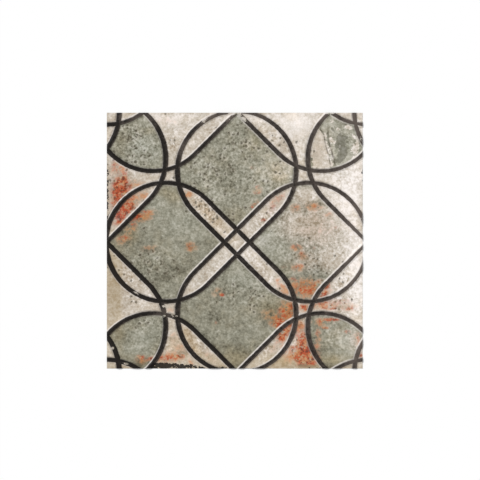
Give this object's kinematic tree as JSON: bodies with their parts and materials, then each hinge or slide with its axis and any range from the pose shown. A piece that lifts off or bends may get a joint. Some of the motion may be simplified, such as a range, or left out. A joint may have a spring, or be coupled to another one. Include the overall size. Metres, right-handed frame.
{
  "type": "pressed tin ceiling tile",
  "caption": "Square pressed tinplate ceiling tile with an interlaced bead pattern of loops and crossing diagonal bands, in worn and rusted paint.",
  "frame": {"origin": "underside of the flat sheet, at the middle of the square outline", "axes": "+Z out of the painted face, +Y towards the top edge of the pattern, +X towards its right edge"},
  "size_m": [0.603, 0.603, 0.0032],
  "materials": {
    "painted_tinplate": "old matt oil paint on pressed tinplate, worn and rusted in places"
  },
  "bodies": {
    "root": {"tin_tile": "painted_tinplate"}
  },
  "joints": []
}
